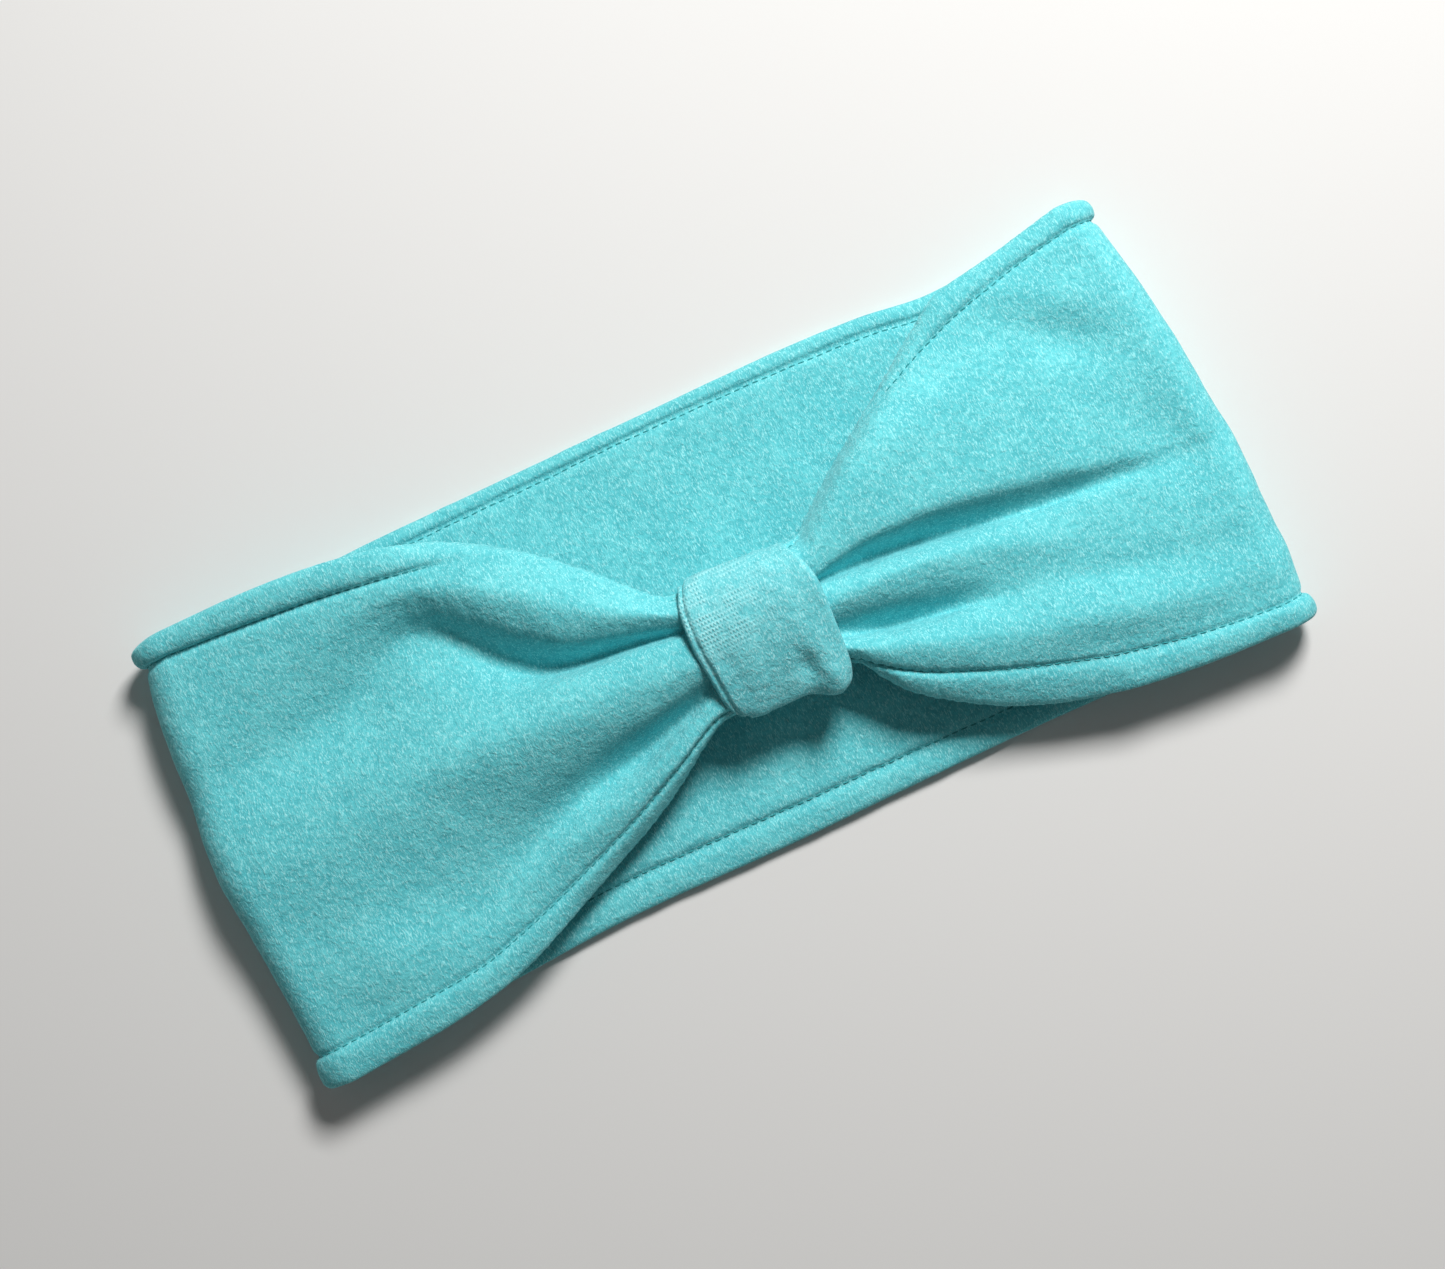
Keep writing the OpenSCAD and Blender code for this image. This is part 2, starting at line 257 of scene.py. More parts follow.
FIELD = [
    # upper stitch
    [(-117, 50.2, 14.8), (-100, 49, 16.6), (-80, 47, 18.4), (-65, 45, 19.8), (-50, 42.4, 20.6),
     (-40, 40.4, 20.3), (-30, 34.8, 20), (-20, 25.9, 20), (-10, 15.9, 20.6), (-6, 12.8, 21),
     (0, 11.9, 21), (22, 11.7, 20.6), (26, 12.3, 18.6), (30, 16.2, 16.4), (40, 23.6, 15.4), (50, 30, 16),
     (56, 33, 16.8), (62, 35.6, 17.2), (70, 38.6, 16.4), (80, 41.8, 15.6), (90, 44.3, 15),
     (100, 46.2, 14.7), (117, 48.7, 14.7)],
    # upper shoulder
    [(-117, 48, 15.2), (-100, 46.6, 17), (-80, 44.4, 18.9), (-65, 42.3, 20.4), (-50, 39.6, 21.8),
     (-40, 35.6, 22.4), (-30, 30.2, 22.6), (-20, 21.8, 22.5), (-10, 13.2, 22.7), (-6, 10.9, 23.2),
     (0, 10.4, 23.4), (22, 10.2, 23.2), (26, 10.6, 22.6), (30, 13.8, 22), (40, 21.2, 21.8),
     (50, 27.2, 21.4), (56, 30, 20.3), (62, 32.7, 18.9), (70, 35.8, 17.2), (80, 39.1, 15.9),
     (90, 41.9, 15.2), (100, 43.9, 15), (117, 46.4, 15)],
    # first crest
    [(-117, 40, 15.3), (-100, 40.5, 16.8), (-80, 41, 18.8), (-60, 40.4, 21), (-50, 36.6, 22.4),
     (-40, 30.6, 24), (-30, 23.2, 25), (-20, 16, 25.1), (-10, 11, 24.9), (-6, 9, 24.7), (0, 8.4, 24.7),
     (22, 8, 24.7), (26, 8.2, 24.9), (30, 10.8, 25), (40, 16.6, 24.8), (50, 21, 23.8), (60, 23.6, 22.3),
     (70, 24.6, 20.6), (80, 24, 18.9), (92, 23, 17), (104, 24, 15.7), (117, 28, 15.3)],
    # first lip
    [(-117, 28, 14.9), (-100, 30, 15.3), (-80, 33, 16.6), (-62, 36.2, 18.4), (-55, 34, 19.2),
     (-50, 30.6, 20), (-40, 22.2, 21.8), (-30, 14.6, 22.6), (-20, 10.8, 22.6), (-10, 7.6, 22.8),
     (-6, 6.2, 23), (0, 4.8, 23.2), (22, 3.4, 23.4), (26, 3.6, 24), (30, 4.6, 24.2), (40, 6.2, 23.8),
     (50, 6.2, 23.2), (60, 5.4, 22.2), (70, 4, 20.9), (80, 2, 19.4), (90, -0.2, 17.6), (98, -2.2, 16),
     (117, -4.6, 15.2)],
    # first valley
    [(-117, 19, 13.9), (-100, 20, 13.1), (-80, 22, 12.9), (-65, 29.5, 14), (-55, 27, 13.4),
     (-47, 18.4, 13), (-38, 11, 12.9), (-28, 8.2, 13.8), (-17, 6.8, 16.8), (-6, 4.8, 20), (0, 3.8, 20.4),
     (22, 2.1, 20.6), (26, 1.9, 20.2), (30, 1.8, 18.4), (40, 1.2, 15), (50, 0, 13), (60, -1.6, 12.9),
     (70, -3.3, 12.9), (80, -4.9, 12.9), (90, -5.9, 13), (97, -6.4, 13.6), (104, -7.4, 14.3),
     (117, -9, 14.6)],
    # second lip
    [(-117, 7, 15.4), (-100, 7.6, 16.4), (-80, 9, 17.6), (-60, 9.6, 18.9), (-50, 8.4, 19.6),
     (-40, 7, 21.2), (-30, 6, 22.6), (-20, 5.3, 23.2), (-10, 4.2, 23.8), (-6, 3.7, 23.8), (0, 2.8, 23.8),
     (22, 0.9, 23.8), (26, 0.7, 23.7), (30, 0.4, 22.8), (40, -0.4, 20.8), (50, -1.6, 18.8),
     (60, -3.3, 17.2), (70, -5.1, 16.2), (80, -6.8, 15.8), (90, -8.1, 15.4), (97, -9, 15),
     (104, -10.4, 14.8), (117, -13, 14.8)],
    # second crest
    [(-117, -4, 16.4), (-105, -4, 17.5), (-90, -3, 18.4), (-78, -1, 19.5), (-66, 0.6, 21.2),
     (-54, 0.4, 22.8), (-42, -0.6, 24.3), (-30, -1, 25.1), (-20, -1.4, 25.2), (-6, -2.4, 25),
     (10, -3, 25.2), (26, -3.6, 25), (30, -3.6, 24.8), (40, -3.8, 23.8), (50, -4.6, 22), (58, -6, 20),
     (66, -8.6, 18.4), (76, -12, 17.2), (88, -16, 16.4), (100, -19, 15.6), (117, -21, 15.2)],
    # second brow
    [(-117, -11, 16), (-105, -11, 16.9), (-90, -10.5, 17.4), (-78, -9.5, 18.2), (-66, -9, 18.8),
     (-54, -10, 19.6), (-42, -10, 20.6), (-30, -9.3, 21.6), (-20, -8.4, 22.4), (-6, -6.4, 23),
     (10, -6.2, 23.4), (24, -6.8, 23), (30, -7.6, 22.4), (40, -8.8, 21.6), (50, -10.4, 19.8),
     (58, -12, 18.2), (66, -13.8, 17.4), (76, -16.6, 16.9), (88, -20, 16.3), (100, -22.5, 15.7),
     (117, -24.5, 15.2)],
    # second valley
    [(-117, -20, 15.1), (-100, -23, 15.5), (-88, -27, 14.7), (-78, -29.4, 13.7), (-70, -28.6, 13.1),
     (-62, -26, 12.9), (-54, -22.8, 12.9), (-44, -19.4, 12.9), (-30, -16.2, 12.9), (-18, -13.2, 14.2),
     (-10, -10.8, 17.6), (-6, -9.2, 19.8), (10, -8.6, 20.8), (22, -9.6, 20.4), (27, -11.6, 18),
     (33, -13.4, 14.8), (40, -15.2, 12.9), (48, -16.8, 12.9), (55, -17.8, 14.1), (62, -18.6, 16.2),
     (70, -19.9, 16.8), (80, -22.8, 16.1), (100, -28, 15.2), (117, -30, 14.9)],
    # third lip
    [(-117, -27, 15), (-100, -30, 15.4), (-88, -33, 14.9), (-78, -34.4, 14.1), (-70, -33, 13.7),
     (-62, -29.4, 14), (-54, -26, 14.8), (-44, -22.8, 15.4), (-30, -19.2, 15.4), (-18, -15.3, 16.8),
     (-10, -12.2, 19), (-6, -10.6, 20.4), (10, -10, 21.2), (22, -11, 21.2), (27, -13, 20.8),
     (33, -14.9, 19.6), (40, -16.6, 18.4), (48, -18.2, 17.4), (55, -19.4, 17.2), (62, -20.8, 17.3),
     (70, -22.8, 17.3), (80, -26, 16.9), (100, -32, 15.7), (117, -34, 15.1)],
    # third crest
    [(-117, -36, 14.9), (-104, -37, 15.2), (-92, -38, 15), (-78, -38, 14.4), (-70, -36.2, 14.4),
     (-62, -32, 15), (-54, -29, 16.2), (-46, -26.9, 17.5), (-38, -24.4, 18.4), (-24, -19.8, 19.4),
     (-10, -14, 20.5), (-6, -12.2, 21), (10, -11.9, 22), (22, -12.4, 22.2), (27, -15.2, 22.2),
     (33, -18, 22), (40, -20.4, 21.8), (50, -24, 21), (60, -27, 19.8), (72, -30.4, 18.6),
     (84, -33.6, 17.7), (100, -37, 16.5), (117, -39.2, 15.6)],
    # lower shoulder
    [(-117, -43.5, 14.6), (-100, -42.5, 14.6), (-80, -40.8, 14.4), (-70, -38.6, 14.5), (-60, -35.4, 15),
     (-50, -32, 15.9), (-40, -28.6, 17.3), (-30, -25, 18.6), (-20, -20.8, 19.8), (-10, -15.8, 20.6),
     (-6, -14.4, 20.9), (10, -14.3, 21.2), (22, -14.6, 21.2), (26, -16.4, 21), (30, -19.3, 21),
     (40, -24.9, 20.4), (50, -29.4, 19.4), (60, -33.3, 18.1), (70, -36.8, 16.9), (80, -39.8, 15.8),
     (100, -43.9, 15), (117, -45.7, 14.8)],
    # lower stitch
    [(-117, -45.8, 14.6), (-100, -44.8, 14.5), (-80, -43.3, 14.2), (-70, -40.9, 14.1), (-60, -38, 14.4),
     (-50, -34.5, 14.9), (-40, -31, 15.9), (-30, -27, 17.1), (-20, -22.4, 18.4), (-10, -17.3, 19.2),
     (-6, -16, 19.6), (10, -15.9, 19.8), (22, -16.2, 19.8), (26, -17.8, 19.4), (30, -21, 19.2),
     (40, -27.5, 18.6), (50, -32, 17.8), (60, -36, 16.8), (70, -39.5, 16), (80, -42.5, 15.3),
     (100, -46.5, 14.8), (117, -48.3, 14.7)],
]

# Broad soft swells and hollows of the wings, as (x, y, radius along x, radius along y, turn, height)
SWELLS = [
    (110, -2, 7, 9, 0, -2.2),
    (100, 28, 13, 5.5, -33, -2.4),
    (101, 37, 14, 6, -28, 1.5),
    (82, -34, 20, 9, -20, 1.6),
    (-112, 6, 9, 12, 0, 0.5),
    (-98, -33, 10, 8, 0, 1.0),
    (74, -12, 8, 5, -20, 0.8),
]

# The back length's edges and stitch lines, as (x, y)
BACK_EDGE_UPPER = [(-117, 54.6), (-60, 54.8), (0, 54.3), (40, 53.8), (60, 52.7), (80, 50.4), (100, 51.2),
                   (117, 53.6)]
BACK_STITCH_UPPER = [(-117, 50), (-60, 50.6), (0, 50.5), (40, 49.4), (60, 48.2), (80, 45.8), (100, 46),
                     (117, 48.4)]
BACK_STITCH_LOWER = [(-117, -46.2), (-80, -43), (-42, -41.2), (0, -42.3), (45, -43.4), (80, -44.5),
                     (117, -47.8)]
BACK_EDGE_LOWER = [(-117, -53.6), (-80, -50.6), (-42, -49), (0, -49.9), (45, -49.9), (80, -50.8),
                   (117, -54)]

# How far the side folds reach at each place across the band, as (y, left x, right x)
FOLD_REACH = [(-56, -124, 124.6), (-50, -123.6, 124.9), (-40, -123.6, 125.6), (-20, -124.4, 126),
              (0, -125, 125.6), (10, -124.9, 124.8), (20, -124.3, 123.5), (30, -123.2, 122),
              (40, -121.9, 120.1), (50, -120.2, 118.6), (57, -119.4, 118)]
REACH_FROM = 62.0  # the folds' uneven reach is taken up between here and the fold

# Columns of the mesh: across a hem, and between each pair of field lines
HEM_COLUMNS = 15
FIELD_COLUMNS = [6, 9, 10, 10, 8, 8, 8, 8, 6, 7, 9, 6]
MIDDLE_COLUMN = 60  # a column near the middle of the band
SKIP = 3  # the hidden faces between the layers keep one column in this many

# Rows of the mesh round the loop
FRONT_STEP = 0.78
BACK_STEP = 1.9
FOLD_STEP = 9.0  # degrees round the side folds

# How often the faces are relaxed along the lines and outlines, across the field, and on the lining
RELAX_LINES = 6
RELAX_FIELD = 3
RELAX_LINING = 10


def line_at(line, x, k):
    """Value k of a line's points at x, its first value."""
    return pchip([p[0] for p in line], [p[k] for p in line], x)


def relax(grid, rounds, axis):
    """Softens kinks along one axis of a grid, with its ends kept."""
    for _ in range(rounds):
        g = np.moveaxis(grid, axis, 0).copy()
        g[1:-1] = 0.25 * g[:-2] + 0.5 * g[1:-1] + 0.25 * g[2:]
        grid = np.moveaxis(g, 0, axis)
    return grid


def field_samples(ys, zs):
    """Samples across one place of the field, from stitch line to stitch line."""
    parts = []
    for k, count in enumerate(FIELD_COLUMNS):
        parts.append(lerp(ys[k], ys[k + 1], np.arange(count) / count))
    parts.append([ys[-1]])
    y = np.concatenate(parts)
    z = pchip(ys[::-1], zs[::-1], y)
    return y, z


def bead(u):
    """Share of the way from edge to stitch line, and height, of the hem's rounded top."""
    us = [0, 0.1, 0.25, 0.42, 0.62, 0.8, 0.92, 1]
    share = pchip(us, [0, 0.012, 0.09, 0.27, 0.52, 0.76, 0.92, 1], u)
    height = pchip(us, [0, 0.42, 0.8, 1, 0.98, 0.74, 0.36, 0], u)
    return share, height


def hem_faces(stitch_y, stitch_z, outline, length, side, rise_out, rise_in, lift=0.0):
    """Outer, middle and inner faces of a hem as (y, z) grids, from its edge to its stitch line.

    The strip turns down from the stitch line until its puffed outer face just reaches the
    outline, so it lies flat on the wings and stands on edge at the gathers. Side is 1 for the
    upper hem and -1 for the lower one, and rise_out and rise_in are the height of its puff on
    the outer face and on the lining.
    """
    u = np.linspace(0, 1, HEM_COLUMNS)
    share, height = bead(u)
    away = side * (outline - stitch_y)
    length = np.maximum(length, away)
    lift = np.radians(np.broadcast_to(lift, stitch_y.shape))
    turns = np.radians(np.linspace(0, HEM_MOST_TURN, HEM_TURN_STEPS))
    outer, middle, inner = [], [], []
    for sy, sz, far, wide, up, down, tip in zip(stitch_y, stitch_z, away, length, rise_out, rise_in, lift):
        reach = ((1 - share[:, None]) * wide * np.cos(turns) + up * height[:, None] * np.sin(turns)).max(0)
        reach = np.minimum.accumulate(reach)
        turn = np.interp(-far, -reach, turns) + tip
        d = np.array([side * math.cos(turn), -math.sin(turn)])
        m = np.array([side * math.sin(turn), math.cos(turn)])
        base = np.array([sy, sz]) + np.outer((1 - share) * wide, d)
        drop = STITCH_DEPTH * (1 - share)
        outer.append(base + np.outer(up * height - drop, m))
        middle.append(base - np.outer(np.full_like(share, STITCH_DEPTH), m))
        inner.append(base + np.outer(drop - 2 * STITCH_DEPTH - down * height, m))
    return np.array(outer), np.array(middle), np.array(inner)


def add_swells(x, field):
    """Raises and lowers the field, a (y, z) grid, by the swells of the wings."""
    for cx, cy, rx, ry, turn, height in SWELLS:
        c = math.cos(math.radians(turn))
        n = math.sin(math.radians(turn))
        dx = x[:, None] - cx
        dy = field[:, :, 0] - cy
        away = ((dx * c + dy * n) / rx) ** 2 + ((dy * c - dx * n) / ry) ** 2
        field[:, :, 1] += height * np.exp(-away)


def front_hem(x, packed, stitch_y, stitch_z, outline, side):
    """Outer, middle and inner faces of one hem of the front length; side is 1 for the upper one."""
    edge = relax(line_at(outline, x, 1), RELAX_LINES, 0)
    flat = side * (edge - stitch_y) * HEM_EASE
    rolled = lerp(HEM, NECK_HEM, packed)
    rise = np.full_like(x, HEM_RISE)
    lift = np.zeros_like(x)
    if side > 0:
        rise = lerp(HEM_RISE, HEM_RISE_HIGH, 1 - smooth(*HEM_RISE_HIGH_X, x))
        lift = HEM_LIFT * (1 - smooth(*HEM_LIFT_X, x))
    else:
        rolled = np.maximum(rolled, flat / math.cos(math.radians(HEM_TILT)))
    length = lerp(rolled, flat, smooth(*HEM_FLAT, np.abs(x - NECK_MIDDLE)))
    rise_out = rise * (1 - HEM_PRESSED * packed)
    rise_in = np.minimum(rise, HEM_RISE) * (1 - packed)
    return hem_faces(stitch_y, stitch_z, edge, length, side, rise_out, rise_in, lift)


def from_edge_to_edge(upper, field, lower):
    """One face right across the band, from its hems and its field."""
    return np.concatenate([upper[:, :-1], field, lower[:, ::-1][:, 1:]], 1)


def front_faces(x):
    """Outer, middle and inner faces of the front length at each x, as (y, z) grids."""
    ys = relax(np.array([line_at(line, x, 1) for line in FIELD]).T, RELAX_LINES, 0)
    zs = relax(np.array([line_at(line, x, 2) for line in FIELD]).T, RELAX_LINES, 0)
    field = np.array([np.stack(field_samples(a, b), 1) for a, b in zip(ys, zs)])
    add_swells(x, field)
    field = relax(field, RELAX_FIELD, 1)
    packed = within(NECK_X[0] - NECK_FADE, *NECK_X, NECK_X[1] + NECK_FADE, x)
    upper = front_hem(x, packed, ys[:, 0], zs[:, 0], EDGE_UPPER, 1)
    lower = front_hem(x, packed, ys[:, -1], zs[:, -1], EDGE_LOWER, -1)
    outer = from_edge_to_edge(upper[0], field, lower[0])
    middle = from_edge_to_edge(upper[1], field - [0, FLEECE], lower[1])
    inner_field = field - [0, CLOTH]
    inner_field[:, :, 1] = relax(inner_field[:, :, 1], RELAX_LINING, 1)
    inner_field[:, :, 1] = np.minimum(inner_field[:, :, 1], field[:, :, 1] - FLEECE - LINING_LEAST)
    inner = from_edge_to_edge(upper[2], inner_field, lower[2])
    # Near the wrap the pleats are pressed into one bundle with a level underside.
    floor = NECK_FLOOR + NECK_CORNER * np.abs((inner[:, :, 0] - NECK_Y) / NECK_HALF) ** 5
    inner[:, :, 1] = lerp(inner[:, :, 1], np.minimum(floor, inner[:, :, 1]), packed[:, None])
    inner[:, :, 1] = np.maximum(inner[:, :, 1], lerp(LINING_LOW, NECK_FLOOR, packed)[:, None])
    return outer, middle, inner


def back_faces(x):
    """The same three faces of the back length, as (y, height over the outer face) grids."""
    edge_upper = line_at(BACK_EDGE_UPPER, x, 1)
    stitch_upper = line_at(BACK_STITCH_UPPER, x, 1)
    stitch_lower = line_at(BACK_STITCH_LOWER, x, 1)
    edge_lower = line_at(BACK_EDGE_LOWER, x, 1)
    groove = np.full_like(x, -BACK_GROOVE)
    inside = len(FIELD) - 2
    zs = np.concatenate([[-BACK_GROOVE], np.zeros(inside), [-BACK_GROOVE]])
    rows = []
    for high, low in zip(stitch_upper, stitch_lower):
        ys = np.concatenate([[high], np.linspace(high - SHOULDER_GAP, low + SHOULDER_GAP, inside), [low]])
        rows.append(np.stack(field_samples(ys, zs), 1))
    field = np.array(rows)
    rises = (np.full_like(x, BACK_RISE), np.full_like(x, BACK_RISE_IN))
    upper = hem_faces(stitch_upper, groove, edge_upper, edge_upper - stitch_upper, 1, *rises)
    lower = hem_faces(stitch_lower, groove, edge_lower, stitch_lower - edge_lower, -1, *rises)
    outer = from_edge_to_edge(upper[0], field, lower[0])
    outer[:, :, 1] = np.minimum(outer[:, :, 1], 0)
    middle = from_edge_to_edge(upper[1], field - [0, FLEECE], lower[1])
    inner_field = field - [0, CLOTH]
    inner_field[:, :, 1] = -CLOTH - field[:, :, 1] * LINING_GROOVE
    inner = from_edge_to_edge(upper[2], inner_field, lower[2])
    return outer, middle, inner


# ------------------------------------------------------------------------- round the loop


def stations():
    """Places round the loop: X along the band and the angle of the outward direction."""
    fine = np.arange(-FOLD_X, FOLD_X, FRONT_STEP)
    coarse = np.arange(FOLD_X, -FOLD_X, -BACK_STEP)
    turn = np.arange(0, 180, FOLD_STEP)
    x = np.concatenate([fine, np.full_like(turn, FOLD_X), coarse, np.full_like(turn, -FOLD_X)])
    angle = np.concatenate([np.full_like(fine, 90), 90 - turn, np.full_like(coarse, -90), -90 - turn])
    return x, angle


STATION_X, STATION_ANGLE = stations()


def on_loop(y, rise):
    """Points in mm of a grid of (y, height over the plain outer face) at every station."""
    angle = np.radians(STATION_ANGLE)[:, None]
    x = STATION_X[:, None] + (FOLD_R + rise) * np.cos(angle)
    z = FOLD_R + (FOLD_R + rise) * np.sin(angle)
    ys = [p[0] for p in FOLD_REACH]
    left = pchip(ys, [p[1] for p in FOLD_REACH], y) + FOLD_X + FOLD_R
    right = pchip(ys, [p[2] for p in FOLD_REACH], y) - FOLD_X - FOLD_R
    share = smooth(REACH_FROM, FOLD_X, np.abs(STATION_X))[:, None]
    x = x + share * np.where(STATION_X[:, None] < 0, left, right)
    return np.stack([x, y, z], -1)


def loop_faces():
    """Outer, middle and inner faces right round the loop, as grids that on_loop turns into points."""
    xs = np.unique(np.clip(STATION_X, -FOLD_X, FOLD_X))
    front = front_faces(xs)
    back = back_faces(xs)
    where = np.searchsorted(xs, STATION_X)
    down = np.where(STATION_ANGLE >= -90, (90 - STATION_ANGLE) / 180, (270 + STATION_ANGLE) / 180)
    share = smooth(0, 1, down)[:, None]
    bend = np.cos(np.radians(STATION_ANGLE))[:, None] ** 2
    hem = np.zeros(front[0].shape[1])
    hem[:HEM_COLUMNS] = np.sin(np.linspace(0.25, math.pi, HEM_COLUMNS))
    hem[-HEM_COLUMNS:] = hem[:HEM_COLUMNS][::-1]
    faces = []
    for front_face, back_face in zip(front, back):
        f = front_face[where]
        b = back_face[where]
        y = lerp(f[..., 0], b[..., 0], share)
        rise = lerp(f[..., 1] - TOP, b[..., 1], share)
        faces.append((y, rise + HEM_REACH * bend * hem))
    return faces


def add_mesh(name, vertices, faces, material):
    """A smooth-shaded object from vertices in mm."""
    mesh = bpy.data.meshes.new(name)
    mesh.from_pydata((np.asarray(vertices) * MM).tolist(), [], faces)
    mesh.validate()
    mesh.update()
    mesh.polygons.foreach_set("use_smooth", [True] * len(mesh.polygons))
    mesh.materials.append(material)
    obj = bpy.data.objects.new(name, mesh)
    bpy.context.scene.collection.objects.link(obj)
    return obj


def torus_faces(rings, around):
    """Quads of a grid that is closed in both directions."""
    i, j = np.meshgrid(np.arange(rings), np.arange(around), indexing="ij")
    i2 = (i + 1) % rings
    j2 = (j + 1) % around
    quads = np.stack([i * around + j, i2 * around + j, i2 * around + j2, i * around + j2], -1)
    return quads.reshape(-1, 4)


def closed_volume(vertices, quads):
    """Volume inside a closed mesh, less than 0 if its faces look inwards."""
    v = vertices[quads]
    first = np.einsum("ij,ij->i", v[:, 0], np.cross(v[:, 1], v[:, 2]))
    second = np.einsum("ij,ij->i", v[:, 0], np.cross(v[:, 2], v[:, 3]))
    return (first + second).sum() / 6


def add_fleece(name, shown, hidden, material):
    """A layer of fleece: the grids of its shown and hidden faces, joined at both edges."""
    ring = np.concatenate([shown, hidden[:, ::-1]], 1)
    vertices = ring.reshape(-1, 3)
    quads = torus_faces(*ring.shape[:2])
    if closed_volume(vertices, quads) < 0:
        quads = quads[:, ::-1]
    return add_mesh(name, vertices, quads.tolist(), material)


def thinned(hidden):
    """A hidden face with one column in SKIP, and both edges."""
    last = hidden.shape[1] - 1
    return hidden[:, sorted(set(range(0, last, SKIP)) | {last})]


def grid_normals(points):
    """Outward unit normals of a grid of points that is closed along its first axis."""
    along = np.roll(points, -1, 0) - np.roll(points, 1, 0)
    across = np.gradient(points, axis=1)
    normal = np.cross(across, along)
    normal /= np.maximum(np.linalg.norm(normal, axis=-1, keepdims=True), 1e-9)
    return normal


def pushed(points, amount):
    """The grid moved along its outward normals by an amount in mm at each point."""
    return points + grid_normals(points) * amount[..., None]


def run_length(path):
    """Distance along a closed path at each of its points, and its whole length."""
    steps = np.linalg.norm(np.roll(path, -1, 0) - path, axis=1)
    return np.concatenate([[0], np.cumsum(steps)[:-1]]), steps.sum()


def rolled_under(line):
    """1 where the upper hem rolls over beside the knot, so that its stitches sink into the nap."""
    rolled = sum(within(*bounds, line[:, 0]) for bounds in ROLLED)
    return rolled * (line[:, 1] > 0) * (line[:, 2] > ROLLED_FROM)


def puckers(points, column):
    """How far the stitches along one column draw in the cloth beside them."""
    at, total = run_length(points[:, column])
    count = round(total / STITCH_PITCH)
    phase = np.cos(2 * math.pi * count * at / total)
    away = np.linalg.norm(points - points[:, column:column + 1], axis=-1)
    fade = np.clip(1 - away / PUCKER_REACH, 0, 1) ** 2
    crease = CREASE * np.exp(-((away / CREASE_REACH) ** 2))
    drawn = -PUCKER * (0.5 + 0.5 * phase)[:, None] * fade - crease
    return drawn * (1 - rolled_under(points[:, column]))[:, None]


def stitches(path, normals, closed=True, radius=THREAD_R, lift=0.05):
    """Vertices and faces of a run of separate stitches lying in the cloth along a path."""
    if closed:
        path = np.concatenate([path, path[:1]])
        normals = np.concatenate([normals, normals[:1]])
    steps = np.linalg.norm(np.diff(path, axis=0), axis=1)
    at = np.concatenate([[0], np.cumsum(steps)])
    count = max(1, round(at[-1] / STITCH_PITCH))
    pitch = at[-1] / count
    t = np.linspace(-0.5, 0.5, STITCH_RINGS)
    places = (np.arange(count)[:, None] + 0.5) * pitch + t * STITCH_LENGTH
    centre = np.stack([np.interp(places, at, path[:, k]) for k in range(3)], -1)
    up = np.stack([np.interp(places, at, normals[:, k]) for k in range(3)], -1)
    up /= np.linalg.norm(up, axis=-1, keepdims=True)
    ahead = np.gradient(centre, axis=1)
    ahead /= np.linalg.norm(ahead, axis=-1, keepdims=True)
    side = np.cross(ahead, up)
    bow = np.cos(math.pi * t) ** 0.6
    centre = centre + up * (lift + radius * (1.1 * bow - 0.9))[None, :, None]
    thick = radius * np.sqrt(np.clip(1 - (2 * t) ** 6, 0.05, 1))
    turn = np.linspace(0, 2 * math.pi, STITCH_SIDES, endpoint=False)[None, None, :, None]
    ring = np.cos(turn) * side[:, :, None] + np.sin(turn) * up[:, :, None]
    points = centre[:, :, None] + ring * thick[None, :, None, None]
    return points.reshape(-1, 3), stitch_faces(count)


def stitch_faces(count):
    """Faces of a number of separate stitches, each a capped tube."""
    faces = []
    for stitch in range(count):
        first = stitch * STITCH_RINGS * STITCH_SIDES
        for r in range(STITCH_RINGS - 1):
            for k in range(STITCH_SIDES):
                a = first + r * STITCH_SIDES + k
                b = first + r * STITCH_SIDES + (k + 1) % STITCH_SIDES
                faces.append((a, b, b + STITCH_SIDES, a + STITCH_SIDES))
        last = first + (STITCH_RINGS - 1) * STITCH_SIDES
        faces.append(tuple(first + k for k in range(STITCH_SIDES))[::-1])
        faces.append(tuple(last + k for k in range(STITCH_SIDES)))
    return faces


def joined(parts):
    """One vertex array and face list from several."""
    vertices = []
    faces = []
    count = 0
    for v, f in parts:
        vertices.append(v)
        faces.extend(tuple(i + count for i in face) for face in f)
        count += len(v)
    return np.concatenate(vertices), faces


# ---------------------------------------------------------------------------- materials


def srgb(r, g, b):
    """Linear colour of an sRGB colour given from 0 to 255."""
    return tuple(((c / 255 + 0.055) / 1.055) ** 2.4 for c in (r, g, b)) + (1.0,)


def new_material(name, roughness, sheen, sheen_tint):
    mat = bpy.data.materials.new(name)
    mat.use_nodes = True
    shader = mat.node_tree.nodes["Principled BSDF"]
    shader.inputs["Roughness"].default_value = roughness
    shader.inputs["Sheen Weight"].default_value = sheen
    shader.inputs["Sheen Roughness"].default_value = 0.5
    shader.inputs["Sheen Tint"].default_value = sheen_tint
    shader.inputs["Specular IOR Level"].default_value = 0.15
    return mat, shader


def add_node(mat, kind, links=(), **values):
    """A node with its settings, and its inputs linked or set by name or number."""
    node = mat.node_tree.nodes.new(kind)
    for key, value in values.items():
        setattr(node, key, value)
    for socket, value in links:
        if hasattr(value, "is_output"):
            mat.node_tree.links.new(value, node.inputs[socket])
        else:
            node.inputs[socket].default_value = value
    return node


def noise_node(mat, where, scale, detail, distortion=0.0):
    links = [("Vector", where), ("Scale", scale), ("Detail", detail), ("Distortion", distortion)]
    return add_node(mat, "ShaderNodeTexNoise", links).outputs["Fac"]


def stretch(mat, value, low, high, to_low=0.0, to_high=1.0):
    links = [("Value", value), ("From Min", low), ("From Max", high), ("To Min", to_low), ("To Max", to_high)]
    return add_node(mat, "ShaderNodeMapRange", links, clamp=True).outputs["Result"]


